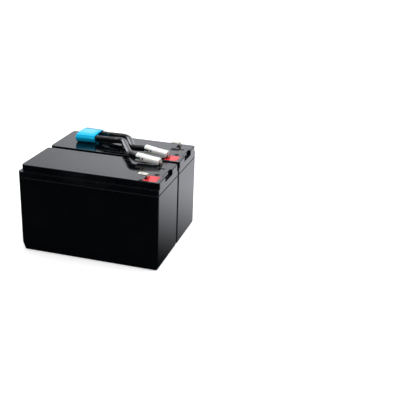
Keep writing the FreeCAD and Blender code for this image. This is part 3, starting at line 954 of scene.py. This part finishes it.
# %% [markdown]
# ## Smooth shading
#
# The solids come as triangles, which show as facets on every curved face. Smooth shading hides the
# facets, and edges above 28 degrees are marked sharp so that light isn't smeared over them. The
# triangles of a solid are long and thin beside tiny ones, so their normals are weighted by area.
# That keeps the light even, which matters most on a polished surface.

# %%
SHARP_EDGE = math.radians(28.0)

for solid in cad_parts.values():
    solid.data.polygons.foreach_set("use_smooth", np.ones(len(solid.data.polygons), dtype=bool))
    solid.data.set_sharp_from_angle(angle=SHARP_EDGE)
    weighted = solid.modifiers.new("weighted", "WEIGHTED_NORMAL")
    weighted.keep_sharp = True
print("smoothed", len(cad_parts), "solids")

# %% [markdown]
# ## Studio floor
#
# A pale floor takes the object's shadow and looks white. Polished black plastic shows mostly what
# it mirrors, so a floor that is white all over would turn the cases grey. The Light Path node tells
# the two apart: camera rays see the pale floor, lifted towards white, and mirror rays see one that
# is dark in front and brightens towards the back.

# %%
FLOOR_HALF = 6.0
# Each ramp has where it starts, where it ends, and its strength at the start and at the end.
FLOOR_RAMP = (-0.060, 0.200, 0.012, 1.20)
FLOOR_LIFT = (0.3, 2.0, 0.54, 0.70)
PURE_WHITE = (1.0, 1.0, 1.0)
COOL_WHITE = (0.975, 0.985, 1.045)


def flat_sheet(name, half, z):
    """A level square: a grid of two parameters, x and y, from minus to plus half, at one height."""
    xs, ys = np.meshgrid(np.linspace(-half, half, 2), np.linspace(-half, half, 2))
    points = np.column_stack([xs.ravel(), ys.ravel(), np.full(4, z)])
    mesh = bpy.data.meshes.new(name)
    mesh.from_pydata(points.tolist(), [], [(0, 1, 3, 2)])
    sheet = bpy.data.objects.new(name, mesh)
    bpy.context.collection.objects.link(sheet)
    return sheet


def floor_material():
    """Matt floor: pale and lifted to white for the camera, a grey ramp along Y in reflections."""
    material = bpy.data.materials.new("floor")
    material.use_nodes = True
    tree = Wire(material.node_tree)
    shader = material.node_tree.nodes["Principled BSDF"]
    shader.inputs["Roughness"].default_value = 0.9
    shader.inputs["Specular IOR Level"].default_value = 0.0
    where = tree.node("ShaderNodeTexCoord", output="Object")
    seen = tree.node("ShaderNodeLightPath", output="Is Camera Ray")
    mirrored = tree.node("ShaderNodeLightPath", output="Is Glossy Ray")
    pale = noise(tree, where, 40.0, 3.0, 0.5).mix((0.80, 0.80, 0.80), (0.83, 0.83, 0.83))
    tree.put(mirrored.mix(pale, (0.0, 0.0, 0.0)), shader.inputs["Base Color"])
    tree.put(mirrored.mix(PURE_WHITE, COOL_WHITE), shader.inputs["Emission Color"])
    grey = tree.node("ShaderNodeSeparateXYZ", output="Y", Vector=where).ramp(*FLOOR_RAMP)
    length = {"operation": "LENGTH"}
    away = tree.node("ShaderNodeVectorMath", output="Value", settings=length, Vector=where)
    lift = away.ramp(*FLOOR_LIFT)
    tree.put(seen * lift + mirrored * grey, shader.inputs["Emission Strength"])
    return material


floor_sheet = flat_sheet("floor", FLOOR_HALF, 0.0)
floor_sheet.data.materials.append(floor_material())
print("floor", 2 * FLOOR_HALF, "m wide")

# %% [markdown]
# ## Lamps
#
# Two soft square lamps light the object plainly, one above and one off the terminal end. They are
# large, because a small lamp would leave hard shadows and a hot spot on each cable.


# %%
def lamp(name, place, aim, size, power):
    """A square area lamp at a place, pointing at another."""
    data = bpy.data.lights.new(name, "AREA")
    data.shape = "SQUARE"
    data.size = size
    data.energy = power
    made = bpy.data.objects.new(name, data)
    bpy.context.collection.objects.link(made)
    made.location = place
    made.rotation_euler = (Vector(aim) - Vector(place)).to_track_quat("-Z", "Y").to_euler()
    print(name, power, "W")
    return made


LAMP_AIM = (0.0, 0.0, 0.05)
lamp("overhead", (0.15, 0.25, 1.3), LAMP_AIM, 1.0, 12.0)
lamp("terminal_end", (1.2, 0.35, 0.7), LAMP_AIM, 0.8, 6.0)

# %% [markdown]
# ## Room that the plastic mirrors
#
# The camera sees a white world. Mirror rays see a room instead: a dark front, a white back wall, a
# bright window at the back left and a white ceiling. The walls could be real sheets with lamps
# behind them, but a direction is all that a far reflection needs, so the room is a formula. A
# bearing is the angle round Z in radians, 0 straight back and plus to the right. Each wall's edge
# is a soft ramp along the bearing, or along one part of the direction.

# %%
# Each limit has where it starts and ends, and some have the strength at the start and at the end.
WALL_LEFT = (-0.55, -0.34, 0.80, 1.28)
WALL_RIGHT = (0.10, -0.20, 0.10, 1.0)
WALL_FRONT = (-0.15, 0.25, 0.03, 1.0)
WINDOW_RIGHT = (-0.60, -0.66)
WINDOW_LEFT = (-1.12, -1.04)
WINDOW_TOP = (0.52, 0.42)
WINDOW_LIGHT = 2.0
CEILING = (0.55, 0.85)
OTHER_LIGHT = 0.55

world = bpy.data.worlds.new("world")
bpy.context.scene.world = world
world.use_nodes = True
sky = Wire(world.node_tree)
background = world.node_tree.nodes["Background"]
seen, mirrored, passed = (
    sky.node("ShaderNodeLightPath", output=ray)
    for ray in ("Is Camera Ray", "Is Glossy Ray", "Is Transmission Ray")
)
heading = sky.node("ShaderNodeTexCoord", output="Generated")
to_right, to_back, to_top = (
    sky.node("ShaderNodeSeparateXYZ", output=axis, Vector=heading) for axis in "XYZ"
)
bearing = sky.math("ARCTAN2", to_right, to_back)
wall = to_back.ramp(*WALL_FRONT) * (bearing.ramp(*WALL_LEFT) * bearing.ramp(*WALL_RIGHT))
window = bearing.ramp(*WINDOW_RIGHT) * bearing.ramp(*WINDOW_LEFT) * to_top.ramp(*WINDOW_TOP)
room = sky.math("MAXIMUM", to_top.ramp(*CEILING), wall) + window * WINDOW_LIGHT
white = sky.math("MAXIMUM", seen, passed)
mirror_only = mirrored * (1.0 - white)
other = (1.0 - white) * (1.0 - mirrored) * OTHER_LIGHT
sky.put(white + mirror_only * room + other, background.inputs["Strength"])
sky.put(mirror_only.mix(PURE_WHITE, COOL_WHITE), background.inputs["Color"])
bpy.context.scene.view_settings.view_transform = "Standard"
print("world", len(world.node_tree.nodes), "nodes")
